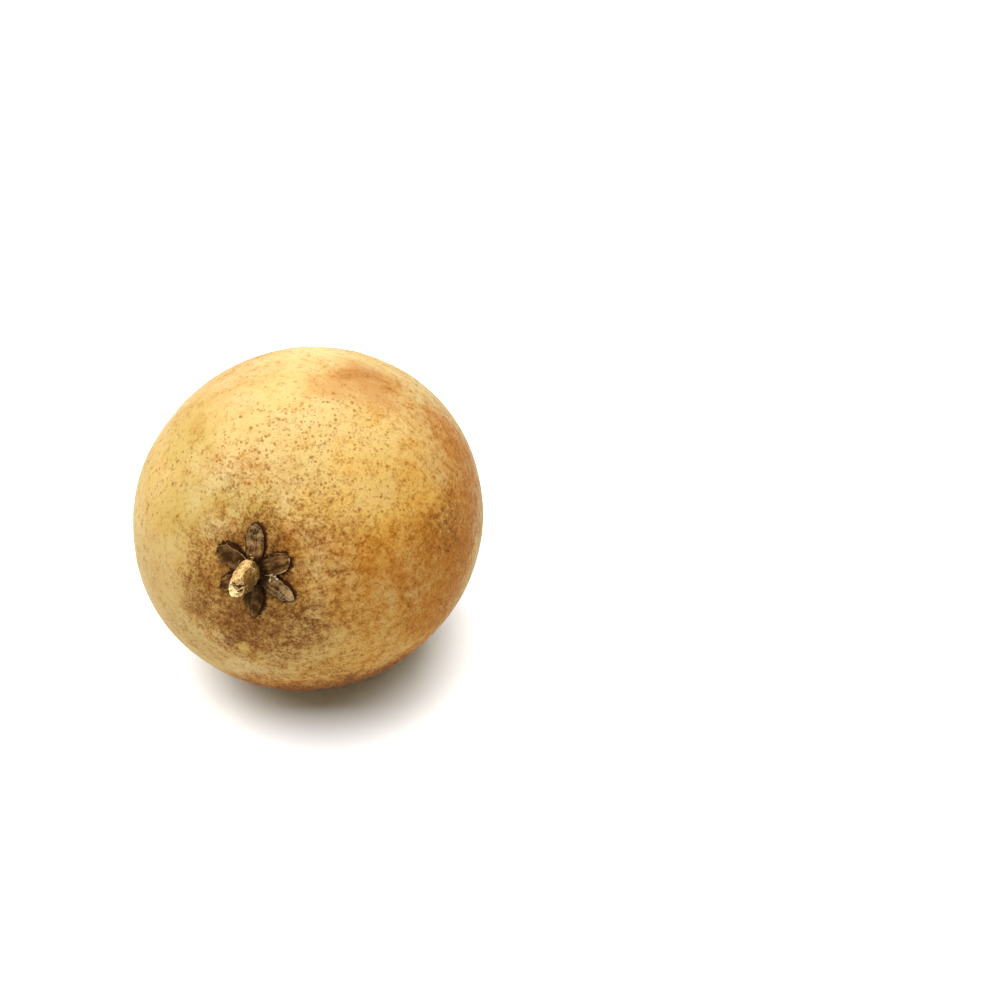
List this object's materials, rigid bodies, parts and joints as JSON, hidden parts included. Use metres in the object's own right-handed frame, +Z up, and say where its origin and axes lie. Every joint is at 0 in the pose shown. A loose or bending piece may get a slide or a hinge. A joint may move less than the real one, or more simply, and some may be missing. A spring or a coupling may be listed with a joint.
{
  "type": "sapodilla",
  "caption": "Whole ripe sapodilla lying on its side, with scurfy yellow-brown skin, a dried star-shaped calyx and the broken stub of its stalk.",
  "frame": {"origin": "middle of the small flat spot that the fruit rests on", "axes": "+Z up, -Y to the front where the stem end and its stalk point, +X to the right as seen from the front"},
  "size_m": [0.064, 0.0732, 0.0628],
  "materials": {
    "skin": "matte",
    "sepal": "matte",
    "stalk": "matte"
  },
  "bodies": {
    "root": {"fruit": "skin", "calyx": "sepal", "stalk": "stalk"}
  },
  "joints": []
}
